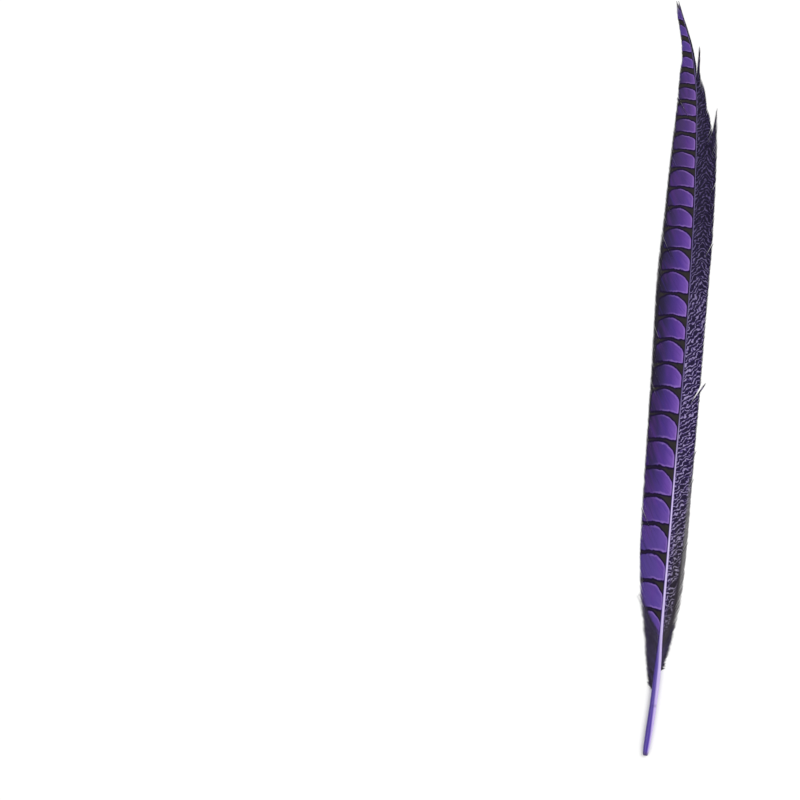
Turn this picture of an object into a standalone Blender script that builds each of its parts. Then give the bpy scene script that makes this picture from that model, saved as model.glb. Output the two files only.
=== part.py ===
"""Side tail feather of a pheasant, dyed violet and lying on its underside.

The shaft runs along +Y from the cut quill end to the tip, in a shallow sabre curve. The web on each side of it
is a thin strip of barbs: they leave the shaft at about 45 degrees, sweep forward and end in the margin, which
lies flat on the ground. Below each vane the barbs are loose and downy. The origin is the middle of the
feather's footprint, at the ground.
"""

import bpy
import numpy as np

MM = 0.001  # metres in a millimetre; every size below is in millimetres

# Driving dimensions
LENGTH = 528.0  # quill end to the tips of the last barbs, along Y
SHAFT_END = 526.0  # where the shaft itself ends
GAP = 0.3  # clear space between neighbouring pieces
WEB = 0.7  # thickness of a vane
DOWN_WEB = 1.3  # thickness of a tuft of loose barbs
FLAT_FROM = 0.72  # share of a vane's width, out from the shaft, at which it lies flat on the ground
SWEEP = 1.65  # how far forward a barb reaches for each unit that it reaches outwards
LEAST_SWEEP = 14.0  # the short barbs near the tip still reach this far forward
START_SWEEP = 0.6  # share of the forward reach that is spent evenly; the rest grows towards the margin

# Stations along the shaft: distance from the quill end, then the value there
SHAFT_BOW = ((0, 0), (50, 7.4), (120, 14.2), (200, 21), (300, 29), (400, 34.8), (455, 36.2), (487, 33.8), (528, 24.2))
SHAFT_RADIUS = ((0, 1.5), (6, 1.9), (20, 2.1), (50, 2.1), (85, 1.4), (130, 1.05), (190, 0.8), (280, 0.55), (528, 0.2))
SHAFT_LIFT = ((0, 0), (55, 0), (130, 1.2), (250, 2.3), (400, 1.8), (490, 0.6), (528, 0.15))
OUTER_WIDTH = (
    (85, 12.5), (110, 16.3), (150, 19.8), (215, 21.2), (330, 23.2), (380, 20.5), (415, 18), (455, 13.8),
    (475, 10.8), (488, 7.6), (505, 4.9), (528, 1.6),
)
INNER_WIDTH = (
    (66, 3.5), (80, 7), (95, 10.4), (110, 12.4), (145, 13.3), (290, 13.2), (360, 14.4), (425, 15.2), (445, 11.5),
    (460, 7), (483, 2.8), (505, 1.5), (528, 0.9),
)
OUTER_ROOTS = (84.0, 509.0)  # the stretch of shaft that carries the outer vane
INNER_ROOTS = (74.0, 511.0)
OUTER_DOWN_ROOTS = (47.0, 83.0)  # the stretch that carries the loose barbs
INNER_DOWN_ROOTS = (58.0, 73.0)
LEAST_DOWN = 0.18  # the lowest loose barb's size, as a share of the lowest barb of the vane above it

VANE_ROWS = 56
VANE_COLUMNS = 7
DOWN_ROWS = 8
DOWN_COLUMNS = 4
SHAFT_POINTS = 64


def through(stations, at):
    """A smooth curve through the stations that never overshoots them: each span is a cubic whose end slopes are
    the harmonic means of the slopes on either side."""
    x, y = np.array(stations, float).T
    step = np.diff(x)
    slope = np.diff(y) / step
    same_way = slope[:-1] * slope[1:] > 0
    total = np.where(same_way, slope[:-1] + slope[1:], 1.0)
    inner = np.where(same_way, 2 * slope[:-1] * slope[1:] / total, 0.0)
    tangent = np.concatenate([slope[:1], inner, slope[-1:]])
    at = np.asarray(at, float)
    i = np.clip(np.searchsorted(x, at) - 1, 0, len(step) - 1)
    t = np.clip((at - x[i]) / step[i], 0, 1)
    rise = y[i] * (1 + 2 * t) * (1 - t) ** 2 + y[i + 1] * t * t * (3 - 2 * t)
    lean = tangent[i] * t * (1 - t) ** 2 - tangent[i + 1] * t * t * (1 - t)
    return rise + step[i] * lean


def material(name, colour, roughness):
    made = bpy.data.materials.new(name)
    made.use_nodes = True
    shader = made.node_tree.nodes["Principled BSDF"]
    shader.inputs["Base Color"].default_value = (*colour, 1)
    shader.inputs["Roughness"].default_value = roughness
    shader.inputs["Metallic"].default_value = 0
    made.diffuse_color = (*colour, 1)
    return made


def place(name, data, finish):
    data.materials.append(finish)
    made = bpy.data.objects.new(name, data)
    bpy.context.scene.collection.objects.link(made)
    return made


def make_shaft(finish):
    """A round bar whose radius follows SHAFT_RADIUS, along the bowed and lifted centre line."""
    spread = np.linspace(0, 1, SHAFT_POINTS)
    y = SHAFT_END * (0.65 * spread + 0.35 * spread**2)  # closer together at the quill, where it is thickest
    radius = through(SHAFT_RADIUS, y)
    height = through(SHAFT_LIFT, y) + radius
    data = bpy.data.curves.new("shaft", "CURVE")
    data.dimensions = "3D"
    data.bevel_depth = MM
    data.bevel_resolution = 2
    data.use_fill_caps = True
    line = data.splines.new("POLY")
    line.points.add(len(y) - 1)
    corners = np.stack([through(SHAFT_BOW, y), y, height, np.full(len(y), 1 / MM)], axis=1) * MM
    line.points.foreach_set("co", corners.ravel())
    line.points.foreach_set("radius", radius)
    return place("shaft", data, finish)


def sheet(name, points, thickness, finish):
    """A grid of points, its rows along the shaft and its columns outwards, thickened upwards."""
    rows, columns = points.shape[:2]
    corner = np.arange(rows * columns).reshape(rows, columns)
    faces = np.stack([corner[:-1, :-1], corner[:-1, 1:], corner[1:, 1:], corner[1:, :-1]], axis=-1).reshape(-1, 4)
    if np.cross(points[1, 0] - points[0, 0], points[0, 1] - points[0, 0])[2] < 0:
        faces = faces[:, ::-1]  # the faces look down, so that the thickness grows up from them
    data = bpy.data.meshes.new(name)
    data.from_pydata((points.reshape(-1, 3) * MM).tolist(), [], faces.tolist())
    made = place(name, data, finish)
    wall = made.modifiers.new("web", "SOLIDIFY")
    wall.thickness = thickness * MM
    wall.offset = -1
    wall.use_even_offset = False
    return made


def barbs(side, roots, reach, sweep, columns):
    """Points along barbs that leave the shaft at the given roots. Outwards a barb's distance grows evenly to its
    reach, and forwards it grows ever faster, so that it bends towards the tip. Its height falls from the shaft's
    upper half to the ground in a half wave."""
    along = np.linspace(0, 1, columns)[None, :]
    forward = sweep[:, None] * (START_SWEEP * along + (1 - START_SWEEP) * along**2)
    y = roots[:, None] + forward
    start = through(SHAFT_RADIUS, y) + GAP
    outward = start + (reach[:, None] - start) * along
    top = through(SHAFT_LIFT, y) + 0.9 * through(SHAFT_RADIUS, y)
    fall = np.clip(along / FLAT_FROM, 0, 1)
    height = top * (1 + np.cos(np.pi * fall)) / 2
    return np.stack([through(SHAFT_BOW, y) + side * outward, y, height], axis=-1)


def spans(root, widths):
    """How far outwards and forwards each barb reaches. A barb ends where the margin is at its own tip, so the
    tip's station is found by trying the reach again a few times."""
    reach = through(widths, root)
    for _ in range(12):
        sweep = np.minimum(np.maximum(SWEEP * reach, LEAST_SWEEP), LENGTH - root)
        reach = through(widths, root + sweep)
    return reach, sweep


def make_vane(name, side, roots, widths, finish):
    root = np.linspace(*roots, VANE_ROWS)
    reach, sweep = spans(root, widths)
    return sheet(name, barbs(side, root, reach, sweep, VANE_COLUMNS), WEB, finish)


def make_down(name, side, roots, vane_foot, widths, finish):
    """A tuft of loose barbs, which grow from a short one at its lower end to one that lies along the lowest barb
    of the vane above."""
    root = np.linspace(*roots, DOWN_ROWS)
    (reach,), (sweep,) = spans(np.array([vane_foot]), widths)
    size = LEAST_DOWN + (1 - LEAST_DOWN) * np.linspace(0, 1, DOWN_ROWS)
    near = through(SHAFT_RADIUS, root) + GAP
    reach = near + (reach - near) * size
    return sheet(name, barbs(side, root, reach, sweep * size, DOWN_COLUMNS), DOWN_WEB, finish)


def centre_on_ground(objects):
    """Moves everything so that the footprint's middle is the origin and the lowest point is at height 0."""
    bpy.context.view_layer.update()
    graph = bpy.context.evaluated_depsgraph_get()
    corners = []
    for thing in objects:
        shape = thing.evaluated_get(graph).to_mesh()
        flat = np.empty(len(shape.vertices) * 3, np.float32)
        shape.vertices.foreach_get("co", flat)
        corners.append(flat.reshape(-1, 3))
    corners = np.concatenate(corners)
    low, high = corners.min(axis=0), corners.max(axis=0)
    shift = (-(low[0] + high[0]) / 2, -(low[1] + high[1]) / 2, -low[2])
    for thing in objects:
        thing.location = shift


for old in list(bpy.data.objects):
    bpy.data.objects.remove(old, do_unlink=True)

horn = material("horn", (0.22, 0.10, 0.55), 0.35)
barred = material("barred web", (0.16, 0.06, 0.42), 0.6)
mottled = material("mottled web", (0.06, 0.04, 0.14), 0.6)
down = material("down", (0.03, 0.02, 0.06), 0.8)

centre_on_ground([
    make_shaft(horn),
    make_vane("outer_vane", -1, OUTER_ROOTS, OUTER_WIDTH, barred),
    make_vane("inner_vane", 1, INNER_ROOTS, INNER_WIDTH, mottled),
    make_down("outer_down", -1, OUTER_DOWN_ROOTS, OUTER_ROOTS[0], OUTER_WIDTH, down),
    make_down("inner_down", 1, INNER_DOWN_ROOTS, INNER_ROOTS[0], INNER_WIDTH, down),
])
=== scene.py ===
import math

import bpy
import numpy as np
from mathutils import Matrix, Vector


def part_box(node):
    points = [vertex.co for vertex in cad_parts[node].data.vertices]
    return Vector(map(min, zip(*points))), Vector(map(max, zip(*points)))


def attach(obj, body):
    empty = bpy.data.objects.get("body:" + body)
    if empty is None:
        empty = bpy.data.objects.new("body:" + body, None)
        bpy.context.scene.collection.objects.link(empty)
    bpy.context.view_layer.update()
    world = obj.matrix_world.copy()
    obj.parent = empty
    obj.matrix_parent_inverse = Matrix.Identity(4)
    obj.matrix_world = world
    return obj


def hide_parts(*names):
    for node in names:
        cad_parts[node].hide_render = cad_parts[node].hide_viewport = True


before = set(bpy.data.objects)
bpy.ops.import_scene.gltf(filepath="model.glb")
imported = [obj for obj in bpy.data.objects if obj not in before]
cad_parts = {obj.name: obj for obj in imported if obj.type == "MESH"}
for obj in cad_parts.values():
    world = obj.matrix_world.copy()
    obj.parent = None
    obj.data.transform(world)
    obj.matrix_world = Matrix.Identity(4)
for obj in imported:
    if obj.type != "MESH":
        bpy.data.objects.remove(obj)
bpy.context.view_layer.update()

# ---------------------------------------------------------------------------------------------------------
# The shaft: one piece of horn, from the open cut end of the quill to a hair-thin tip. The bare quill
# is nearly round; above it the rachis has a groove along its underside. It was dyed with the web, so
# it is violet, with painted light laid into its colour: a pale lavender painted highlight along its
# top and its lit side, towards the narrow vane, over horn a little paler on top, and painted shade on
# its dark far flank. The inside of the quill's open end is painted shade.

MM = 0.001
CUT_RADIUS = 1.5  # at the very end of the quill
# Along the shaft, as (station, value) in millimetres: its bow sideways, its radius, and the height of
# its underside above the ground
SHAFT_BOW = (
    (0, 0), (50, 7.4), (120, 13.9), (200, 20.6), (300, 29), (400, 34.8), (455, 36.1), (487, 33.5),
    (528, 22.9),
)
SHAFT_RADIUS = (
    (0, CUT_RADIUS), (6, 1.9), (20, 2.1), (50, 2.1), (85, 1.4), (130, 1.05), (190, 0.8), (280, 0.55),
    (528, 0.2),
)
SHAFT_LIFT = ((0, 0), (55, 0), (130, 1.2), (250, 2.3), (400, 1.8), (490, 0.6), (528, 0.15))
SHAFT_END = 526.0

cut_lean = math.atan2(SHAFT_BOW[1][1], SHAFT_BOW[1][0])
shaft_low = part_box("shaft")[0]
START_X = shaft_low.x / MM + CUT_RADIUS * math.cos(cut_lean)
START_Y = shaft_low.y / MM + CUT_RADIUS * math.sin(cut_lean)


def through(stations, at):
    """A smooth curve through the stations that never overshoots them: each span is a cubic whose end
    slopes are the harmonic means of the slopes on either side."""
    x, y = np.array(stations, float).T
    step = np.diff(x)
    slope = np.diff(y) / step
    same_way = slope[:-1] * slope[1:] > 0
    total = np.where(same_way, slope[:-1] + slope[1:], 1.0)
    inner = np.where(same_way, 2 * slope[:-1] * slope[1:] / total, 0.0)
    tangent = np.concatenate([slope[:1], inner, slope[-1:]])
    at = np.asarray(at, float)
    i = np.clip(np.searchsorted(x, at) - 1, 0, len(step) - 1)
    t = np.clip((at - x[i]) / step[i], 0, 1)
    rise = y[i] * (1 + 2 * t) * (1 - t) ** 2 + y[i + 1] * t * t * (3 - 2 * t)
    lean = tangent[i] * t * (1 - t) ** 2 - tangent[i + 1] * t * t * (1 - t)
    return rise + step[i] * lean


def ease(low, high, at):
    """0 below low, 1 above high, and a smooth S between them."""
    t = np.clip((np.asarray(at, float) - low) / (high - low), 0, 1)
    return t * t * (3 - 2 * t)


def in_place(outward, station, height):
    """Points beside the shaft: outward from its centre line, at a station along it and at a height,
    all in millimetres. The points are in metres."""
    outward, station, height = np.broadcast_arrays(outward, station, height)
    east = START_X + through(SHAFT_BOW, station) + outward
    return np.stack([east, START_Y + station, height], axis=-1) * MM


def new_piece(name, points, faces, maps, values=(), smooth_below=None):
    """A mesh object from arrays. maps are UV maps with a place for each corner of each face, and
    values are numbers for each point. Edges that turn by more than smooth_below degrees stay
    sharp."""
    mesh = bpy.data.meshes.new(name)
    mesh.from_pydata(points.reshape(-1, 3).tolist(), [], [list(face) for face in faces])
    for label, places in maps.items():
        layer = mesh.uv_layers.new(name=label)
        layer.uv.foreach_set("vector", np.ascontiguousarray(places, np.float32).ravel())
    for label, numbers in dict(values).items():
        held = mesh.attributes.new(label, "FLOAT", "POINT")
        held.data.foreach_set("value", np.ascontiguousarray(numbers, np.float32).ravel())
    mesh.shade_smooth()
    if smooth_below:
        mesh.set_sharp_from_angle(angle=math.radians(smooth_below))
    piece = bpy.data.objects.new(name, mesh)
    bpy.context.scene.collection.objects.link(piece)
    return piece


def shaft_profile():
    """Stations of the rings and their shares of the shaft's radius, from the bottom of the quill's
    open end, over its lip and to the tip. The quill has one faint growth ring."""
    hole_depth, hole = 5.0, 0.62  # the hole's width is a share of the quill's
    inner_station = np.array([hole_depth, hole_depth, 2.0, 0.25, 0.05])
    inner_share = np.array([0.05, 0.8 * hole, hole, hole, hole + 0.08])
    spread = np.linspace(0, 1, 300)
    outer_station = SHAFT_END * (0.75 * spread + 0.25 * spread**2)
    lip = 0.86 + 0.14 * ease(0, 0.5, outer_station)
    tip = np.sqrt(np.clip((SHAFT_END - outer_station) / 1.5, 0.02, 1))
    node_at, node_depth, node_width = 35.0, 0.05, 0.7
    node = 1 - node_depth * np.exp(-(((outer_station - node_at) / node_width) ** 2))
    station = np.concatenate([inner_station, outer_station])
    share = np.concatenate([inner_share, lip * tip * node])
    return station, share, np.maximum(station, 0)


def make_shaft():
    """Each ring is a circle, stretched a little sideways in the bare quill. Towards the rachis its
    flanks flatten, and a groove is pressed into the underside: the radius loses a bell-shaped share
    round straight down."""
    sides, quill_extra = 28, 0.2
    groove_depth, groove_width, flattened = 0.38, 0.42, 0.10
    station, share, along = shaft_profile()
    round_by = np.arange(sides) / sides * 2 * np.pi
    radius = through(SHAFT_RADIUS, along) * share
    rachis = ease(60, 110, along)[:, None]
    down_angle = (round_by + np.pi / 2 + np.pi) % (2 * np.pi) - np.pi
    groove = groove_depth * rachis * np.exp(-((down_angle / groove_width) ** 2))[None, :]
    flanks = 1 - flattened * rachis * np.cos(round_by)[None, :] ** 2
    size = radius[:, None] * (1 - groove) * flanks
    broad = size * (1 + quill_extra * (1 - ease(55, 95, along)))[:, None]
    height = through(SHAFT_LIFT, along) + through(SHAFT_RADIUS, along)
    centre = in_place(0, along, height)
    lean = through(SHAFT_BOW, along + 1) - through(SHAFT_BOW, along - 1)
    lean = lean / np.where((along < 1) | (along > 527), 1, 2)
    unit = np.sqrt(1 + lean**2)
    across = np.stack([1 / unit, -lean / unit, 0 * lean], axis=-1)
    points = (
        centre[:, None, :]
        + across[:, None, :] * (broad * np.cos(round_by))[:, :, None] * MM
        + np.array([0, 0, 1]) * (size * np.sin(round_by))[:, :, None] * MM
    )
    rings = len(station)
    corner = np.arange(rings * sides).reshape(rings, sides)
    after = np.roll(corner, -1, axis=1)
    walls = np.stack([corner[:-1], corner[1:], after[1:], after[:-1]], axis=-1).reshape(-1, 4)
    turn = np.arange(sides) / sides
    ring_at = along[:, None] + 0 * turn
    left = np.stack([0 * ring_at + turn, ring_at / 100], axis=-1)
    right = left + [1 / sides, 0]
    places = np.stack([left[:-1], left[1:], right[1:], right[:-1]], axis=2).reshape(-1, 2)
    maps = {
        "horn": np.concatenate([places, left[0], left[-1][::-1]]),
        "OFBake": cut_in_lengths(rings - 1, sides),
    }
    faces = walls.tolist() + [corner[0].tolist(), corner[-1][::-1].tolist()]
    hole_shade = np.repeat(np.arange(rings) < 4, sides)
    return new_piece("shaft_horn", points, faces, maps, {"inside": hole_shade})


def cut_in_lengths(rings, sides, lengths=6, share=0.96):
    """A flat layout of a tube, for painting: cut into lengths that lie side by side in the given
    share of the square, with the tube's two ends beyond them."""
    each = -(-rings // lengths)
    number = np.arange(rings)[:, None]
    low = (number // each + 0.01 + 0.98 * np.arange(sides) / sides) * share / lengths
    high = low + 0.98 / sides * share / lengths
    start = number % each / each + 0 * low
    end = start + 1 / each
    lengthways = np.stack([start, end, end, start], axis=-1)
    sideways = np.stack([low, low, high, high], axis=-1)
    walls = np.stack([lengthways, sideways], axis=-1)
    turn = np.arange(sides) / sides * 2 * np.pi
    disc = np.stack([np.cos(turn), np.sin(turn)], axis=-1) * 0.3 * (1 - share)
    ends = [disc + [place, (1 + share) / 2] for place in (0.1, 0.3)]
    return np.concatenate([walls.reshape(-1, 2), *ends])


def shade(red, green, blue):
    """A colour named by its 0 to 255 values on a screen, as the linear values that a shader takes."""
    value = np.array([red, green, blue]) / 255
    linear = np.where(value <= 0.04045, value / 12.92, ((value + 0.055) / 1.055) ** 2.4)
    return (*linear.tolist(), 1.0)


def add(tree, kind, *inputs, **settings):
    """A node with its settings made. Each input in turn is linked to a socket or set to a value, and
    None leaves it alone."""
    made = tree.nodes.new("ShaderNode" + kind)
    for name, value in settings.items():
        setattr(made, name, value)
    for socket, value in zip(made.inputs, inputs):
        if isinstance(value, bpy.types.NodeSocket):
            tree.links.new(value, socket)
        elif value is not None:
            socket.default_value = value
    return made


def maths(tree, operation, *inputs):
    """The result of one of the arithmetic nodes."""
    return add(tree, "Math", *inputs, operation=operation).outputs[0]


def plus(tree, first, second):
    """first + second"""
    return maths(tree, "ADD", first, second)


def less(tree, first, second):
    """first - second"""
    return maths(tree, "SUBTRACT", first, second)


def times(tree, first, second):
    """first x second"""
    return maths(tree, "MULTIPLY", first, second)


def between(tree, value, low, high, start=0.0, end=1.0):
    """start where the value is below low, end where it is above high, and a smooth S between them."""
    made = add(tree, "MapRange", value, low, high, start, end, interpolation_type="SMOOTHSTEP")
    return made.outputs[0]


def blend(tree, share, first, second):
    """A colour that goes from first, where the share is 0, to second, where it is 1."""
    made = add(tree, "Mix", data_type="RGBA")
    for socket, value in ((made.inputs[0], share), (made.inputs[6], first), (made.inputs[7], second)):
        if isinstance(value, bpy.types.NodeSocket):
            tree.links.new(value, socket)
        else:
            socket.default_value = value
    return made.outputs[2]


def ramp(tree, value, stops):
    """A colour that changes evenly with the value, through stops of (value, colour)."""
    made = add(tree, "ValToRGB", value)
    line = made.color_ramp
    for i, (at, colour) in enumerate(stops):
        stop = line.elements[i] if i < 2 else line.elements.new(at)
        stop.position = at
        stop.color = colour
    return made.outputs[0]


def new_material(name, roughness):
    """A material with its node tree and its shader."""
    made = bpy.data.materials.new(name)
    made.use_nodes = True
    shader = made.node_tree.nodes["Principled BSDF"]
    shader.inputs["Roughness"].default_value = roughness
    return made, made.node_tree, shader


def ridges(tree, shader, height, strength=0.5, depth=0.00004):
    """A slight relief along the grain of the horn or along the barbs, depth metres deep."""
    bump = add(tree, "Bump", strength, depth)
    tree.links.new(height, bump.inputs["Height"])
    tree.links.new(bump.outputs[0], shader.inputs["Normal"])


def horn():
    """Dyed horn, with painted light in its colour. Round the shaft the colour runs from a pale lavender
    painted highlight on the lit side, towards the narrow vane, over vivid violet, to a dark far flank of
    painted shade. Fine streaks follow the grain, and the upper shaft has a painted highlight along its
    top, over horn a little paler there. The inside of the quill's open end is painted shade. Turn goes
    from 0 to 1 round the shaft, and along is in tenths of a metre."""
    made, tree, shader = new_material("dyed horn", 0.3)
    place = add(tree, "UVMap", uv_map="horn").outputs[0]
    turn, along = add(tree, "SeparateXYZ", place).outputs[:2]
    # Round the quill the violet is lightest on the lit side, towards the narrow vane, and darker over the
    # top and far flank: dye with painted light in it.
    violet = ramp(tree, turn, (
        (0.0, shade(104, 76, 184)), (0.25, shade(68, 38, 154)), (0.42, shade(62, 38, 132)),
        (0.5, shade(78, 60, 128)), (0.75, shade(92, 70, 150)), (1.0, shade(104, 76, 184)),
    ))
    # Painted highlight: a pale lavender band down the lit side of the quill, towards the narrow vane.
    highlight_edge = between(tree, along, 0.05, 0.5, 0.18, 0.25)
    pale = between(tree, less(tree, turn, highlight_edge), -0.06, 0.05, 0.95, 0.0)
    quill = blend(tree, pale, violet, shade(206, 188, 238))
    # The rachis: violet dye with a pale lavender painted highlight along its top and lit side, over horn a
    # little paler there, and painted shade on its dark far flank.
    rachis = ramp(tree, turn, (
        (0.0, shade(92, 60, 160)), (0.10, shade(168, 146, 212)), (0.20, shade(218, 204, 240)),
        (0.30, shade(204, 186, 236)), (0.38, shade(70, 44, 136)), (0.5, shade(46, 26, 104)),
        (0.75, shade(150, 136, 170)), (0.9, shade(84, 62, 130)), (1.0, shade(92, 60, 160)),
    ))
    # The thin upper shaft: mauve-grey dye, still with a faint painted highlight on top and painted shade
    # on its far flank.
    dull = ramp(tree, turn, (
        (0.0, shade(60, 44, 96)), (0.2, shade(96, 82, 126)), (0.3, shade(80, 64, 112)),
        (0.4, shade(40, 26, 80)), (0.5, shade(36, 22, 74)), (0.75, shade(110, 100, 124)),
        (1.0, shade(60, 44, 96)),
    ))
    colour = blend(tree, between(tree, along, 0.6, 1.0), quill, rachis)
    thin = blend(tree, between(tree, along, 1.75, 2.55), colour, dull)
    stretched = add(tree, "Mapping", place)
    stretched.inputs["Scale"].default_value = (26, 5, 1)
    grain = add(tree, "TexNoise", stretched.outputs[0], None, 2.0, 4.0).outputs[0]
    streaks = blend(tree, between(tree, grain, 0.35, 0.75, 0.0, 0.35), thin, shade(60, 34, 138))
    from_ring = maths(tree, "ABSOLUTE", less(tree, along, 0.35))
    ringed = blend(tree, between(tree, from_ring, 0.004, 0.014, 0.3, 0.0), streaks, shade(48, 28, 112))
    end = between(tree, along, 0.0, 0.04, 0.85, 0.0)
    worn = blend(tree, end, ringed, shade(66, 52, 92))
    # Painted shade: the inside of the quill's open end is darkened.
    hole_shade = add(tree, "Attribute", attribute_name="inside").outputs[2]
    tree.links.new(blend(tree, hole_shade, worn, shade(44, 36, 56)), shader.inputs["Base Color"])
    tree.links.new(between(tree, grain, 0.3, 0.8, 0.24, 0.42), shader.inputs["Roughness"])
    ridges(tree, shader, grain, 0.25, 0.00006)
    return made


shaft = make_shaft()
shaft.data.materials.append(horn())
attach(shaft, "root")
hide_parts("shaft")

# ---------------------------------------------------------------------------------------------------------
# The outer vane: the wide strip of web, of some eight hundred barbs that grow from the shaft's flank,
# sweep forward and hook into their neighbours. Groups of them part a little towards the margin. It is
# violet between black cross bars, with a dark margin along its upper half.

SWEEP, LEAST_SWEEP = 1.65, 14.0  # a barb's forward reach for each unit outwards, and its least reach
START_SWEEP = 0.6  # share of that reach which is made evenly
FLAT_FROM = 0.72  # share of a barb's length at which it meets the ground
BED = 0.3  # height of a barb's middle above the ground where the web lies flat
VANE_END = 528.0
OUTER_ROOTS = (84.0, 522.0)
OUTER_WIDTH = (
    (85, 12.5), (110, 16.3), (150, 19.8), (215, 21.2), (330, 23.2), (380, 20.5), (415, 18), (455, 13.8),
    (475, 10.8), (488, 7.6), (505, 4.9), (520, 2.7), (528, 0.9),
)
# How many bars lie below each station, the middle of a violet patch being a whole number
BAR_AT = (
    (60, -1.6), (91.4, 0), (171.2, 4), (247.8, 8), (314.5, 12), (375.9, 16), (428.6, 20), (473.6, 24),
    (518.5, 28), (530, 28.9),
)
# Share of the vane's width that the violet patches reach out to
PATCH_REACH = (
    (60, 1.04), (200, 0.99), (235, 0.95), (282, 0.88), (330, 0.87), (376, 0.9), (425, 0.93), (451, 0.97),
    (480, 1.06), (500, 1.14), (528, 1.2),
)


def spans(root, widths):
    """How far outwards and forwards each barb reaches. A barb ends where the margin is at its own
    tip, so the tip's station is found by trying the reach again a few times."""
    reach = through(widths, root)
    for _ in range(12):
        sweep = np.minimum(np.maximum(SWEEP * reach, LEAST_SWEEP), VANE_END - root)
        reach = through(widths, root + sweep)
    return reach, sweep


def clumps(root, least, most, chance):
    """Cuts the row of roots into clumps of chance length. Each barb gets its clump's number and half
    length, and its own place in it from -1 to 1."""
    edges = root[0] + np.concatenate([[0], np.cumsum(chance.uniform(least, most, 400))])
    number = np.searchsorted(edges, root, side="right") - 1
    half = (edges[number + 1] - edges[number]) / 2
    return number, half, (root - edges[number]) / half - 1


def looseness(root):
    """1 for the lowest barbs of a vane, whose hooks are weak, falling to 0 for those higher up."""
    return 1 - ease(80, 114, root)[:, None]


def lie(side, root, reach, sweep, along):
    """Outward distance, station and height of points along barbs. Outwards a barb's distance grows
    evenly to its reach, and forwards it grows ever faster, so that it bends towards the tip. Its
    height falls from just above the shaft's middle to the ground in a half wave."""
    sunk, perched = 0.85, 1.15  # where a barb starts beside and above the shaft, as shares of its radius
    station = root[:, None] + sweep[:, None] * (START_SWEEP * along + (1 - START_SWEEP) * along**2)
    start = sunk * through(SHAFT_RADIUS, station)
    outward = start + (reach[:, None] - start) * along
    top = through(SHAFT_LIFT, station) + perched * through(SHAFT_RADIUS, station)
    height = BED + (top - BED) * (1 + np.cos(np.pi * np.clip(along / FLAT_FROM, 0, 1))) / 2
    return side * outward, station, height


def disturb(root, along, chance, partings, strays):
    """Outward, forward and upward shifts of the barbs from their even lie, which grow from nothing at
    the shaft. Each clump closes up towards its own middle, turns a little and tilts like a shingle; a
    parting pushes its two sides apart; a stray lock has come unhooked from the barb in front of it
    and stands out. The last two arrays say how near a point is to a gap or crease, and how far it
    belongs to a stray lock. The first of them sets painted shade along the gaps and creases, and it
    also darkens the stray locks.

    A parting is (station, opening, spread), and a stray is (station, width, outward shift, forward
    shift, power of the forward shift along the barb)."""
    number, half, place = clumps(root, 2.2, 7.5, chance)
    pull = 0.02 + 0.12 * chance.random(number.max() + 1) ** 4
    turn = chance.normal(0, 0.12, number.max() + 1)
    tilt = chance.uniform(0.3, 1.0, number.max() + 1)
    crease = chance.random(number.max() + 1) ** 2.5
    late = along[None, :] ** 3
    forward = (-(place * half * pull[number])[:, None] + turn[number][:, None]) * late
    forward = forward + chance.normal(0, 0.06, len(root))[:, None] * late
    outward = chance.normal(0, 0.10, len(root))[:, None] * along**3 + (turn * 0.1)[number][:, None] * late
    outward = outward + chance.normal(0, 0.45, len(root))[:, None] * looseness(root) * along**4
    upward = (place * tilt[number])[:, None] * 0.24 * along * (1.3 - along)
    # Painted shade along the edges of clumps: gap is how dark the web is painted where clumps crease or
    # part.
    gap = (np.clip(place, 0, 1) ** 7 * crease[number])[:, None] * ease(0.3, 0.75, along)
    for at, opening, spread in partings:
        away = root - at
        push = np.sign(away) * np.exp(-np.abs(away) / spread) * opening / 2
        forward = forward + push[:, None] * ease(0.35, 1.0, along) ** 2
        outward = outward - (np.abs(push) * 0.12)[:, None] * late
        gap = np.maximum(gap, np.exp(-np.abs(away) / 0.8)[:, None] * ease(0.3, 0.8, along))
    lock = np.zeros(gap.shape)
    for at, width, out_by, on_by, late_by in strays:
        few = np.where(root > at, 0, np.exp(-(((root - at) / width) ** 2)))[:, None]
        outward = outward + few * out_by * along**2.5
        forward = forward + few * on_by * along**late_by
        upward = upward + few * 0.4 * along**2
        lock = np.maximum(lock, few * ease(0.4, 0.9, along))
    return outward, forward, upward, np.maximum(gap, lock), lock


def ribbons(path, half, crest):
    """Four corner lines round each path: left edge, crest, right edge and keel of a flat diamond
    section."""
    ahead = np.gradient(path, axis=1)
    ahead /= np.linalg.norm(ahead, axis=2, keepdims=True) + 1e-12
    across = np.cross(ahead, [0, 0, 1])
    across /= np.linalg.norm(across, axis=2, keepdims=True) + 1e-12
    up = np.cross(across, ahead)
    half, crest = half[:, :, None] * MM, crest[:, :, None] * MM
    lines = [path - across * half, path + up * crest, path + across * half, path - up * crest * 0.7]
    return np.stack(lines, axis=2)


def ribbon_faces(count, steps):
    """Faces of all the ribbons: four long sides between neighbouring sections, then a quad at each
    end."""
    corner = np.arange(count * steps * 4).reshape(count, steps, 4)
    after = np.roll(corner, -1, axis=2)
    sides = np.stack([corner[:, :-1], corner[:, 1:], after[:, 1:], after[:, :-1]], axis=-1)
    ends = np.stack([corner[:, 0, :], corner[:, -1, ::-1]], axis=1)
    return sides.reshape(-1, 4), ends.reshape(-1, 4)


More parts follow.
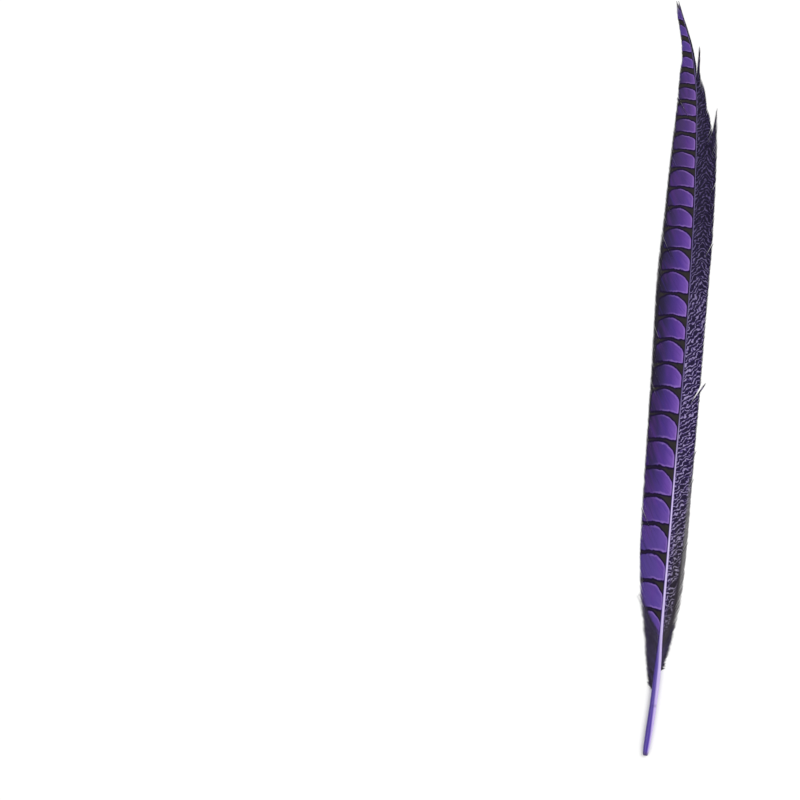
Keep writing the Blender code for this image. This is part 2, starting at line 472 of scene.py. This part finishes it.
def straightened(count, steps, strips, top_share=0.68):
    """A flat layout of all the ribbons, for painting. The barbs stand side by side in strips: their
    upper faces in the lower share of the square, and their undersides above them."""
    each = -(-count // strips)
    number = np.arange(count)
    left = (number % each) / each
    wide = np.array([[0, 0, 0.5, 0.5], [0.5, 0.5, 1, 1], [1, 1, 0.5, 0.5], [0.5, 0.5, 0, 0]]) / each
    step = np.arange(steps - 1)
    high = np.stack([step, step + 1, step + 1, step], axis=-1) / (steps - 1)
    top = np.array([True, True, False, False])
    tall = np.where(top, top_share, 1 - top_share) / strips
    base = np.where(top, 0, top_share) + (number // each)[:, None] * tall
    across = np.broadcast_to(left[:, None, None, None] + wide, (count, steps - 1, 4, 4))
    upward = base[:, None, :, None] + (0.01 + 0.98 * high[None, :, None, :]) * tall[:, None]
    sides = np.stack([across, upward], axis=-1).reshape(-1, 4, 2)
    foot = np.stack([left + 0.5 / each, base[:, 0] + 0.01 * tall[0]], axis=-1)
    head = np.stack([left + 0.5 / each, base[:, 0] + 0.99 * tall[0]], axis=-1)
    ends = np.repeat(np.stack([foot, head], axis=1), 4, axis=1).reshape(-1, 4, 2)
    return np.concatenate([sides, ends])


def section_places(values, faces):
    """Per-point pairs spread to the corners of the faces."""
    return values.reshape(-1, 2)[faces]


def make_web(name, side, roots, spacing, widths, steps, strips, chance, partings, strays):
    """A vane as a row of ribbon barbs. Each is as wide as the space between it and its neighbour, and
    a little more, so that the web is closed; it narrows to a point at the margin. Barbs of a stray
    lock are wider, as they lie flatter. The attributes say where a point lies in the even web: its
    share of the vane's width, its place among the bars, its share of the patches' width, and how much
    painted shade it takes near a gap or crease, which also darkens the barbs of stray locks."""
    overlap, least_half, lock_half, lowest = 1.3, 0.04, 0.12, 0.14
    root = np.arange(roots[0], roots[1], spacing)
    along = np.linspace(0, 1, steps)
    reach, sweep = spans(root, widths)
    length = 1 + chance.normal(0, 0.008, len(root))
    reach, sweep = reach * length, sweep * length
    outward, station, height = lie(side, root, reach, sweep, along)
    out_by, on_by, up_by, gap, lock = disturb(root, along, chance, partings, strays)
    wave = 0.16 * np.sin(station / 9.0 + 2.0 * along) + 0.12 * np.sin(station / 3.7 - 3.0 * along)
    even = in_place(outward, station, height)
    real = in_place(
        outward + side * out_by,
        np.minimum(station + on_by, VANE_END - 0.3),
        np.maximum(height + up_by + wave * np.sin(np.pi * along), lowest),
    )
    ahead = np.gradient(real, axis=1)
    ahead /= np.linalg.norm(ahead, axis=2, keepdims=True)
    shaft_way = np.gradient(through(SHAFT_BOW, root), root)[:, None]
    slant = np.abs(ahead[:, :, 0] - ahead[:, :, 1] * shaft_way) / np.sqrt(1 + shaft_way**2)
    point = (1 - 0.8 * ease(0.93, 1.0, along)) * (1 - 0.55 * looseness(root) * ease(0.72, 0.95, along))
    half = (0.5 * spacing * slant * overlap + least_half + lock_half * lock) * point
    crest = 0.26 * half + 0.035
    points = ribbons(real, half, crest)
    rest = ribbons(even, half, crest)
    sides, ends = ribbon_faces(len(root), steps)
    faces = np.concatenate([sides, ends])
    rest_station = rest[..., 1] / MM - START_Y
    rest_outward = np.abs(rest[..., 0] / MM - START_X - through(SHAFT_BOW, rest_station))
    web = np.stack([rest_outward, rest_station], axis=-1) / 10
    down_barb = (along * 40)[None, :, None] + np.zeros(4)
    barb = np.stack(np.broadcast_arrays(root[:, None, None], down_barb), axis=-1) / 10
    across = rest_outward / through(widths, rest_station)
    piece = new_piece(
        name,
        points,
        faces,
        {
            "web": section_places(web, faces),
            "barb": section_places(barb, faces),
            "OFBake": straightened(len(root), steps, strips),
        },
        {
            "across": across,
            "bar": through(BAR_AT, rest_station),
            "cell": across / through(PATCH_REACH, rest_station),
            "parting": np.broadcast_to(gap[:, :, None], gap.shape + (4,)),
        },
        smooth_below=60,
    )
    under = np.zeros(len(faces), np.int32)
    under[: len(sides)] = np.tile([0, 0, 1, 1], len(sides) // 4)
    piece.data.polygons.foreach_set("material_index", under)
    return piece


def patch_field():
    """One violet patch, as a group. Its output is above 0 inside the patch and below 0 outside, in
    shares of the distance between bars. Height is measured from the patch's middle. The upper edge is
    arched and falls off on either side of a crown, the lower edge is flat, and the corners are
    rounded. Towards the feather's tip the patches are shorter and straighter."""
    crown = 0.62
    tree = bpy.data.node_groups.new("violet patch", "ShaderNodeTree")
    for name in ("Cell", "Height", "Number"):
        tree.interface.new_socket(name, in_out="INPUT", socket_type="NodeSocketFloat")
    tree.interface.new_socket("Inside", in_out="OUTPUT", socket_type="NodeSocketFloat")
    cell, height, number = tree.nodes.new("NodeGroupInput").outputs[:3]
    tall = between(tree, number, 16.0, 27.0, 0.412, 0.3)
    shaft_side = maths(tree, "ABSOLUTE", maths(tree, "MINIMUM", less(tree, cell, crown), 0.0))
    margin_side = maths(tree, "MAXIMUM", less(tree, cell, crown), 0.0)
    steep = between(tree, number, 15.0, 22.0, 1.42, 0.43)
    outer_steep = between(tree, number, 4.0, 10.0, 0.25, 1.4)
    fall = times(tree, maths(tree, "POWER", shaft_side, 2.4), steep)
    outer_fall = times(tree, maths(tree, "POWER", margin_side, 2.0), outer_steep)
    arch = plus(tree, fall, outer_fall)
    upper = less(tree, less(tree, tall, arch), height)
    lower = plus(tree, plus(tree, height, tall), 0.03)
    near = times(tree, less(tree, cell, 0.05), 1.3)
    far = times(tree, less(tree, 1.0, cell), 0.8)
    shoulder = maths(tree, "SMOOTH_MIN", upper, near, 0.17)
    shoulders = maths(tree, "SMOOTH_MIN", shoulder, far, 0.12)
    inside = maths(tree, "SMOOTH_MIN", shoulders, lower, 0.06)
    out = tree.nodes.new("NodeGroupOutput")
    tree.links.new(inside, out.inputs[0])
    return tree


def group_of(tree, group, *inputs):
    """A use of a group with its inputs linked."""
    made = tree.nodes.new("ShaderNodeGroup")
    made.node_tree = group
    for socket, value in zip(made.inputs, inputs):
        tree.links.new(value, socket)
    return made.outputs


def bar_field(patch):
    """The cross bars, as a group: whichever is larger of the fields of the patch below a point and of
    the one above it. The bars climb a little from the shaft outwards, and Wobble shifts them along
    the feather."""
    tree = bpy.data.node_groups.new("cross bars", "ShaderNodeTree")
    for name in ("Cell", "Bar", "Wobble"):
        tree.interface.new_socket(name, in_out="INPUT", socket_type="NodeSocketFloat")
    tree.interface.new_socket("Inside", in_out="OUTPUT", socket_type="NodeSocketFloat")
    cell, bar, wobble = tree.nodes.new("NodeGroupInput").outputs[:3]
    slant = between(tree, cell, 0.05, 0.62, 0.03, -0.07)
    risen = plus(tree, plus(tree, bar, slant), wobble)
    below = maths(tree, "FLOOR", risen)
    above = plus(tree, below, 1.0)
    fields = []
    for number in (below, above):
        height = less(tree, risen, number)
        fields.append(group_of(tree, patch, cell, height, number)[0])
    out = tree.nodes.new("NodeGroupOutput")
    tree.links.new(maths(tree, "MAXIMUM", *fields), out.inputs[0])
    return tree


def barb_grain():
    """The lie of the barbs, as a group. Fine is a streak for each few barbs, Coarse one for each
    clump, and Patchy changes slowly over the web."""
    tree = bpy.data.node_groups.new("barb grain", "ShaderNodeTree")
    for name in ("Fine", "Coarse", "Patchy"):
        tree.interface.new_socket(name, in_out="OUTPUT", socket_type="NodeSocketFloat")
    place = add(tree, "UVMap", uv_map="barb").outputs[0]
    out = tree.nodes.new("NodeGroupOutput")
    for socket, scale in zip(out.inputs, ((9.0, 0.5, 1), (2.3, 0.25, 1), (0.4, 0.3, 1))):
        stretched = add(tree, "Mapping", place)
        stretched.inputs["Scale"].default_value = scale
        tree.links.new(add(tree, "TexNoise", stretched.outputs[0], None, 1.6, 2.0).outputs[0], socket)
    return tree


CROSS_BARS = bar_field(patch_field())
BARB_GRAIN = barb_grain()


def value_of(tree, name):
    """One of the numbers that a piece holds for each of its points."""
    return add(tree, "Attribute", attribute_name=name).outputs[2]


def bars_of(tree, wobble):
    """The field of the cross bars at a point of the web."""
    return group_of(tree, CROSS_BARS, value_of(tree, "cell"), value_of(tree, "bar"), wobble)[0]


def barred_top():
    """Dyed barred web from above. Each patch is pinkest and lightest beside the shaft and bluest and
    darkest outwards: partly dye, partly painted shade where the web curves down away from the light.
    A pale rim lies just inside each patch's edge; the bars are charcoal with an inky line along each
    side. Below the lowest bar the web is streaky and dark. Gaps and creases between clumps get painted
    shade, and stray locks are darkened too."""
    made, tree, shader = new_material("barred web", 0.5)
    shader.inputs["Specular IOR Level"].default_value = 0.08
    fine, coarse, patchy = group_of(tree, BARB_GRAIN)[:3]
    web = add(tree, "UVMap", uv_map="web").outputs[0]
    ragged = add(tree, "TexNoise", web, None, 2.2, 2.0).outputs[0]
    wobble = times(tree, less(tree, fine, 0.5), 0.05)
    for noise, amount in ((coarse, 0.07), (ragged, 0.12)):
        wobble = plus(tree, wobble, times(tree, less(tree, noise, 0.5), amount))
    inside = bars_of(tree, wobble)
    cell, bar = value_of(tree, "cell"), value_of(tree, "bar")
    # Patch colour runs lighter and pinker beside the shaft, darker and bluer outwards: partly dye, partly
    # painted shade where the web curves down away from the light.
    violet = ramp(tree, cell, (
        (0.0, shade(134, 92, 180)), (0.10, shade(114, 80, 166)), (0.24, shade(98, 66, 154)),
        (0.40, shade(76, 51, 130)), (0.56, shade(64, 45, 114)), (0.70, shade(50, 38, 86)),
        (0.85, shade(38, 30, 62)), (1.0, shade(34, 28, 50)),
    ))
    # The upper patches, duller, with the same painted shade outwards.
    upper = ramp(tree, cell, (
        (0.0, shade(116, 84, 156)), (0.15, shade(98, 70, 138)), (0.40, shade(76, 53, 108)),
        (0.80, shade(62, 46, 90)), (1.0, shade(46, 38, 66)),
    ))
    raised = blend(tree, between(tree, bar, 12.0, 21.0, 0.0, 0.85), violet, upper)
    lowest = blend(tree, between(tree, bar, 2.0, 6.0, 0.7, 0.0), raised, shade(86, 66, 142))
    warmer = blend(tree, between(tree, bar, 23.5, 25.5, 0.0, 0.6), lowest, shade(82, 64, 146))
    warm = blend(tree, between(tree, patchy, 0.45, 0.7, 0.0, 0.3), warmer, shade(100, 52, 146))
    bluer = blend(tree, between(tree, coarse, 0.5, 0.8, 0.0, 0.5), warm, shade(64, 42, 138))
    streaked = blend(tree, between(tree, fine, 0.5, 0.78, 0.0, 0.4), bluer, shade(46, 28, 96))
    rim = times(tree, between(tree, inside, 0.0, 0.03), between(tree, inside, 0.03, 0.09, 1.0, 0.0))
    uneven = between(tree, ragged, 0.3, 0.6, 0.5, 1.0)
    rim_side = times(tree, between(tree, cell, 0.35, 0.8, 0.5, 0.0), uneven)
    rimmed = blend(tree, times(tree, rim, rim_side), streaked, shade(158, 124, 200))
    charcoal = blend(tree, coarse, shade(52, 49, 47), shade(34, 30, 34))
    edge_ink = between(tree, inside, -0.1, -0.045, 0.0, 1.0)
    dark = blend(tree, edge_ink, charcoal, shade(22, 10, 44))
    margin = blend(tree, between(tree, cell, 0.97, 1.06), dark, shade(40, 37, 46))
    edged = blend(tree, between(tree, value_of(tree, "across"), 0.965, 1.0), margin, shade(92, 86, 98))
    patch = blend(tree, between(tree, inside, -0.008, 0.012), edged, rimmed)
    streaky = blend(tree, between(tree, coarse, 0.4, 0.62), shade(34, 28, 50), shade(66, 56, 96))
    streaky = blend(tree, between(tree, fine, 0.45, 0.7, 0.0, 0.7), streaky, shade(38, 28, 72))
    foot = blend(tree, between(tree, bar, -0.62, -0.42, 1.0, 0.0), patch, streaky)
    tip = blend(tree, between(tree, bar, 28.3, 28.45), foot, shade(26, 18, 44))
    # Painted shade in the gaps and creases between clumps, which also darkens the stray locks.
    gap = times(tree, value_of(tree, "parting"), 0.55)
    shown = blend(tree, gap, tip, shade(22, 14, 40))
    tree.links.new(shown, shader.inputs["Base Color"])
    tree.links.new(between(tree, inside, -0.02, 0.02, 0.66, 0.48), shader.inputs["Roughness"])
    ridges(tree, shader, fine)
    return made


def barred_under():
    """The same web from below, where it took less dye: dull grey-violet, with the bars only as a
    shadow."""
    made, tree, shader = new_material("barred web underside", 0.62)
    fine, coarse, patchy = group_of(tree, BARB_GRAIN)[:3]
    inside = bars_of(tree, times(tree, less(tree, coarse, 0.5), 0.1))
    cell = value_of(tree, "cell")
    pale = ramp(tree, cell, (
        (0.0, shade(128, 116, 148)), (0.5, shade(112, 102, 132)), (1.0, shade(84, 78, 98)),
    ))
    streaked = blend(tree, between(tree, fine, 0.45, 0.75, 0.0, 0.5), pale, shade(92, 84, 112))
    barred = blend(tree, between(tree, inside, -0.05, 0.04), shade(70, 66, 78), streaked)
    shown = blend(tree, between(tree, cell, 1.0, 1.1), barred, shade(56, 53, 62))
    tree.links.new(shown, shader.inputs["Base Color"])
    tree.links.new(between(tree, patchy, 0.3, 0.7, 0.56, 0.68), shader.inputs["Roughness"])
    return made


outer_vane = make_web(
    "outer_vane_web", -1, OUTER_ROOTS, 0.5, OUTER_WIDTH, 15, 3, np.random.default_rng(11),
    partings=((122, 0.8, 4), (236, 0.6, 4), (331, 0.6, 4)),
    strays=((140, 0.7, 0.5, -0.8, 2.5), (330, 0.7, 0.6, -0.8, 2.5), (440, 0.5, 0.6, -1.6, 2.0)),
)
outer_vane.data.materials.append(barred_top())
outer_vane.data.materials.append(barred_under())
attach(outer_vane, "root")
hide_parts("outer_vane")

# ---------------------------------------------------------------------------------------------------------
# The inner vane: the narrow strip of web on the other flank, made in the same way. It is near-black,
# with pale worm-like lines that wander, fork and break, and it fades to plain charcoal at its lower
# end.

INNER_ROOTS = (74.0, 522.0)
INNER_WIDTH = (
    (66, 3.5), (80, 7), (95, 10.4), (110, 12.4), (145, 13.3), (290, 13.2), (360, 14.4), (425, 14.9),
    (434, 13.4), (439, 10.8), (447, 9.2), (454, 7.3), (466, 6.2), (478, 3.1), (488, 1.6), (505, 1.1),
    (528, 0.6),
)


def worm_lines():
    """The worm-like lines, as a group: evenly spaced waves that cross the web aslant, and towards the
    feather's tip fold back half-way across. Slow noise is added to their phase, so that their crests
    wander, fork and close into loops. Crest rises from 0 between the lines to 1 along them, and is
    lowered here and there to break them. Stations and distances are in centimetres."""
    lines_each_centimetre = 3.2
    tree = bpy.data.node_groups.new("worm lines", "ShaderNodeTree")
    tree.interface.new_socket("Crest", in_out="OUTPUT", socket_type="NodeSocketFloat")
    place = add(tree, "UVMap", uv_map="web").outputs[0]
    outward, station = add(tree, "SeparateXYZ", place).outputs[:2]
    fold = between(tree, station, 26.0, 34.0, 3.0, 0.75)
    folded = maths(tree, "ABSOLUTE", less(tree, outward, fold))
    aslant = times(tree, folded, between(tree, station, 26.0, 34.0, 2.2, 3.6))
    even = plus(tree, aslant, times(tree, station, lines_each_centimetre))
    wander = add(tree, "TexNoise", place, None, 2.4, 2.5).outputs[0]
    amount = between(tree, station, 11.0, 17.0, 4.4, 3.0)
    phase = plus(tree, even, times(tree, wander, amount))
    wave = maths(tree, "SINE", times(tree, phase, 2 * math.pi))
    moved = add(tree, "Mapping", place)
    moved.inputs["Location"].default_value = (7, 3, 1)
    broken = add(tree, "TexNoise", moved.outputs[0], None, 5.0, 1.0).outputs[0]
    strength = between(tree, broken, 0.35, 0.6, 0.37, 0.5)
    crest = times(tree, plus(tree, wave, 1.0), strength)
    out = tree.nodes.new("NodeGroupOutput")
    tree.links.new(crest, out.inputs[0])
    return tree


WORM_LINES = worm_lines()


def mottled_top():
    """Dyed mottled web from above. The worm-like lines are brightest half-way down the feather,
    dimmer towards its tip and least dyed at its foot. The lower margin is worn grey, and the upper
    one has a thin grey rim. Gaps and creases between clumps of barbs are darkened with painted shade,
    and stray locks are darkened too."""
    made, tree, shader = new_material("mottled web", 0.52)
    shader.inputs["Specular IOR Level"].default_value = 0.08
    fine, coarse, patchy = group_of(tree, BARB_GRAIN)[:3]
    across, bar = value_of(tree, "across"), value_of(tree, "bar")
    crest = plus(tree, group_of(tree, WORM_LINES)[0], between(tree, across, 0.1, 0.24, 0.05, 0.0))
    crest = plus(tree, crest, times(tree, less(tree, fine, 0.5), 0.06))
    bright = ramp(tree, crest, (
        (0.0, shade(26, 17, 50)), (0.56, shade(34, 22, 64)), (0.68, shade(64, 46, 108)),
        (0.78, shade(118, 104, 150)), (0.90, shade(154, 142, 182)), (1.0, shade(154, 142, 182)),
    ))
    dim = ramp(tree, crest, (
        (0.0, shade(22, 16, 38)), (0.6, shade(26, 19, 46)), (0.76, shade(44, 34, 72)),
        (0.88, shade(78, 68, 106)), (1.0, shade(84, 74, 112)),
    ))
    charcoal = ramp(tree, crest, (
        (0.0, shade(38, 33, 42)), (0.56, shade(44, 38, 50)), (0.68, shade(66, 58, 80)),
        (0.78, shade(108, 100, 122)), (0.90, shade(142, 135, 156)), (1.0, shade(142, 135, 156)),
    ))
    undyed = between(tree, across, 0.15, 0.4, 0.2, 0.9)
    undyed = times(tree, undyed, between(tree, bar, 1.5, 6.0, 1.0, 0.0))
    mottle = blend(tree, between(tree, bar, 8.0, 17.0), blend(tree, undyed, bright, charcoal), dim)
    ground = blend(tree, coarse, shade(36, 26, 62), shade(24, 16, 44))
    plain = blend(tree, patchy, shade(44, 40, 48), shade(58, 53, 60))
    reach = plus(tree, across, between(tree, bar, 0.0, 5.0, 0.35, 0.0))
    lined = blend(tree, between(tree, reach, 0.84, 1.0, 0.0, 0.62), mottle, ground)
    foot = blend(tree, between(tree, bar, -0.7, 0.9, 1.0, 0.0), lined, plain)
    low_margin = times(tree, between(tree, reach, 0.85, 1.0), between(tree, bar, 2.0, 6.0, 1.0, 0.0))
    edged = blend(tree, low_margin, foot, plain)
    worn = times(tree, between(tree, across, 0.72, 0.9), between(tree, bar, 3.5, 6.0, 0.85, 0.0))
    worn = times(tree, worn, between(tree, bar, -1.0, 0.8, 0.25, 1.0))
    edged = blend(tree, worn, edged, shade(122, 120, 122))
    streaked = blend(tree, between(tree, fine, 0.5, 0.8, 0.0, 0.35), edged, shade(24, 18, 38))
    worn_rim = times(tree, between(tree, across, 0.965, 1.0), between(tree, bar, 17.0, 20.0, 0.7, 0.0))
    rim = blend(tree, worn_rim, streaked, shade(98, 92, 104))
    # Painted shade in the gaps and creases between clumps, which also darkens the stray locks.
    gap = times(tree, value_of(tree, "parting"), 0.55)
    tree.links.new(blend(tree, gap, rim, shade(20, 14, 34)), shader.inputs["Base Color"])
    tree.links.new(between(tree, patchy, 0.3, 0.7, 0.48, 0.58), shader.inputs["Roughness"])
    ridges(tree, shader, fine)
    return made


def mottled_under():
    """The same web from below: dull grey, with the lines only faint."""
    made, tree, shader = new_material("mottled web underside", 0.62)
    fine, _, patchy = group_of(tree, BARB_GRAIN)[:3]
    base = ramp(tree, value_of(tree, "across"), (
        (0.0, shade(96, 90, 110)), (0.6, shade(84, 79, 94)), (1.0, shade(64, 60, 72)),
    ))
    faint = between(tree, group_of(tree, WORM_LINES)[0], 0.6, 0.8, 0.0, 0.4)
    lined = blend(tree, faint, base, shade(122, 114, 136))
    streaked = blend(tree, between(tree, fine, 0.45, 0.75, 0.0, 0.45), lined, shade(66, 61, 78))
    tree.links.new(streaked, shader.inputs["Base Color"])
    tree.links.new(between(tree, patchy, 0.3, 0.7, 0.56, 0.68), shader.inputs["Roughness"])
    return made


inner_vane = make_web(
    "inner_vane_web", 1, INNER_ROOTS, 0.5, INNER_WIDTH, 13, 3, np.random.default_rng(23),
    partings=((150, 0.8, 4), (362, 0.9, 4)),
    strays=(
        (237, 2.6, 3.4, 2.0, 2.5), (413, 6.0, 1.0, 18.0, 5.0), (470, 5.0, 4.2, 12.5, 2.5),
        (190, 0.8, 0.7, 0.8, 2.5), (171, 0.8, 0.8, 0.4, 2.5), (128, 0.8, 0.6, -0.4, 2.5),
        (335, 0.8, 0.5, -0.6, 2.5),
    ),
)
inner_vane.data.materials.append(mottled_top())
inner_vane.data.materials.append(mottled_under())
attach(inner_vane, "root")
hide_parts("inner_vane")

# ---------------------------------------------------------------------------------------------------------
# The down: loose barbs below each vane, which have no hooks and so stay apart. Each is a soft thread
# with fine side threads, charcoal with a cast of the dye, and lies along the shaft or trails away
# from it.

LEAST_DOWN = 0.1  # length of the shortest barb, as a share of the longest


def make_down(name, side, roots, vane_foot, widths, count, chance):
    """Barbs grow from a short one at the tuft's lower end to one that lies along the lowest barb of
    the vane. Each wanders from that lie by a smooth swing, and carries side threads that fan out from
    it and bend forward."""
    steps, pairs, side_steps = 12, 26, 3
    thread_half, side_half, lowest = 0.12, (0.05, 0.042, 0.014), 0.12
    (reach,), (sweep,) = spans(np.array([vane_foot]), widths)
    root = np.linspace(*roots, count)
    grown = (root - roots[0]) / (roots[1] - roots[0])
    root = root + chance.normal(0, 0.15, count)
    size = LEAST_DOWN + (1 - LEAST_DOWN) * grown * chance.uniform(0.74, 1.04, count)
    near = through(SHAFT_RADIUS, root)
    along = np.linspace(0, 1, steps)
    outward, station, height = lie(side, root, near + (reach - near) * size, sweep * size, along)
    swing = chance.normal(0, 0.7, count)[:, None] * along**2
    swing = swing + chance.normal(0, 0.25, count)[:, None] * np.sin(np.pi * 2 * along)
    raised = chance.uniform(-0.2, 1.2, count)[:, None] * along * (1.2 - along)
    height = np.maximum(height + raised, lowest)
    thread = in_place(outward + side * swing, station, height)
    half = thread_half * (1 - 0.7 * along)[None, :] + 0 * thread[:, :, 0]
    main = ribbons(thread, half, half * 0.8)
    at = np.linspace(0.08, 0.97, pairs)
    place = np.minimum((at * (steps - 1)).astype(int), steps - 2)
    part = (at * (steps - 1) - place)[None, :, None]
    foot = thread[:, place] * (1 - part) + thread[:, place + 1] * part
    ahead = thread[:, place + 1] - thread[:, place]
    ahead /= np.linalg.norm(ahead, axis=2, keepdims=True)
    beside = np.cross(ahead, [0, 0, 1])
    tapered = np.sin(np.pi * (0.15 + 0.6 * at))[None, :, None]
    long = chance.uniform(1.2, 2.6, (count, pairs, 1)) * tapered * MM
    out = np.linspace(0, 1, side_steps)[None, None, :, None]
    forward = ahead[:, :, None, :] * 0.45 * out**2
    fans = []
    for way in (-1, 1):
        rise = chance.normal(0, 0.25, (count, pairs, 1))
        spread_out = (beside * way * 0.75 + ahead * 0.55 + np.array([0, 0, 1]) * rise)[:, :, None, :]
        curve = foot[:, :, None, :] + long[:, :, None, :] * (spread_out * out + forward)
        curve[..., 2] = np.maximum(curve[..., 2], 0.05 * MM)
        fans.append(curve.reshape(-1, side_steps, 3))
    fine = np.concatenate(fans)
    fine_half = np.broadcast_to(np.array(side_half), fine.shape[:2])
    threads = ribbons(fine, fine_half, fine_half * 0.8)
    main_sides, main_ends = ribbon_faces(count, steps)
    fine_sides, fine_ends = ribbon_faces(len(fine), side_steps)
    after = count * steps * 4
    faces = np.concatenate([main_sides, main_ends, fine_sides + after, fine_ends + after])
    points = np.concatenate([main.reshape(-1, 3), threads.reshape(-1, 3)])
    flat = np.stack([points[:, 0] / MM - START_X, points[:, 1] / MM - START_Y], axis=-1) / 100
    tone = chance.random(count)
    side_tones = np.tile(np.repeat(tone, pairs * side_steps * 4), 2)
    values = {
        "thread": np.arange(len(points)) < after,
        "tone": np.concatenate([np.repeat(tone, steps * 4), side_tones]),
    }
    return new_piece(name, points, faces, {"lie": flat[faces]}, values, smooth_below=60)


def downy():
    """Charcoal threads, some of them paler, with the dye showing on the thicker ones."""
    made, tree, shader = new_material("down", 0.8)
    place = add(tree, "UVMap", uv_map="lie").outputs[0]
    patches = add(tree, "TexNoise", place, None, 30.0, 3.0).outputs[0]
    dark = blend(tree, patches, shade(38, 30, 60), shade(60, 54, 64))
    paler = between(tree, value_of(tree, "tone"), 0.55, 1.0, 0.0, 0.8)
    toned = blend(tree, paler, dark, shade(92, 80, 128))
    shown = blend(tree, times(tree, value_of(tree, "thread"), 0.4), toned, shade(46, 30, 86))
    tree.links.new(shown, shader.inputs["Base Color"])
    tree.links.new(between(tree, patches, 0.3, 0.7, 0.7, 0.9), shader.inputs["Roughness"])
    return made


SOFT = downy()
for name, side, roots, vane_foot, widths, count, seed in (
    ("outer_down", -1, (46.5, 86.0), OUTER_ROOTS[0], OUTER_WIDTH, 120, 31),
    ("inner_down", 1, (59.0, 77.0), INNER_ROOTS[0], INNER_WIDTH, 56, 37),
):
    tuft = make_down(name + "_barbs", side, roots, vane_foot, widths, count, np.random.default_rng(seed))
    tuft.data.materials.append(SOFT)
    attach(tuft, "root")
    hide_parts(name)

# ---------------------------------------------------------------------------------------------------------
# The stage: a white table, soft daylight from the narrow-vane side with a broad fill, and a camera
# that looks straight down with the feather right of the middle.

VIEW_WIDTH = 0.56  # in metres, as the next two
VIEW_MIDDLE = ((START_X - 171.5) * MM, (START_Y + 248.5) * MM)
CAMERA_HEIGHT = 1.5


def white_table():
    """A plain white square in the ground plane."""
    half = 3.0
    corners = [(-half, -half, 0), (half, -half, 0), (half, half, 0), (-half, half, 0)]
    mesh = bpy.data.meshes.new("table")
    mesh.from_pydata(corners, [], [(0, 1, 2, 3)])
    table = bpy.data.objects.new("table", mesh)
    bpy.context.scene.collection.objects.link(table)
    made, _, shader = new_material("white table", 0.7)
    shader.inputs["Base Color"].default_value = shade(249, 249, 248)
    mesh.materials.append(made)
    return table


def soft_lamp(name, place, size, power):
    """A broad round lamp that faces the origin."""
    data = bpy.data.lights.new(name, "AREA")
    data.shape = "DISK"
    data.size = size
    data.energy = power
    lamp = bpy.data.objects.new(name, data)
    lamp.location = place
    x, y, z = place
    lamp.rotation_euler = (math.atan2(math.hypot(x, y), z), 0, math.atan2(-y, -x) - math.pi / 2)
    bpy.context.scene.collection.objects.link(lamp)


white_table()
soft_lamp("window", (2.0, 1.1, 2.6), 2.4, 60)
soft_lamp("fill", (-1.9, -0.9, 2.6), 2.4, 26)

world = bpy.data.worlds.new("room")
world.use_nodes = True
world.node_tree.nodes["Background"].inputs[0].default_value = (1, 1, 1, 1)
world.node_tree.nodes["Background"].inputs[1].default_value = 0.64
bpy.context.scene.world = world
bpy.context.scene.view_settings.view_transform = "Standard"

lens = bpy.data.cameras.new("camera")
lens.lens = lens.sensor_width * CAMERA_HEIGHT / VIEW_WIDTH
camera = bpy.data.objects.new("camera", lens)
camera.location = (*VIEW_MIDDLE, CAMERA_HEIGHT)
bpy.context.scene.collection.objects.link(camera)
bpy.context.scene.camera = camera
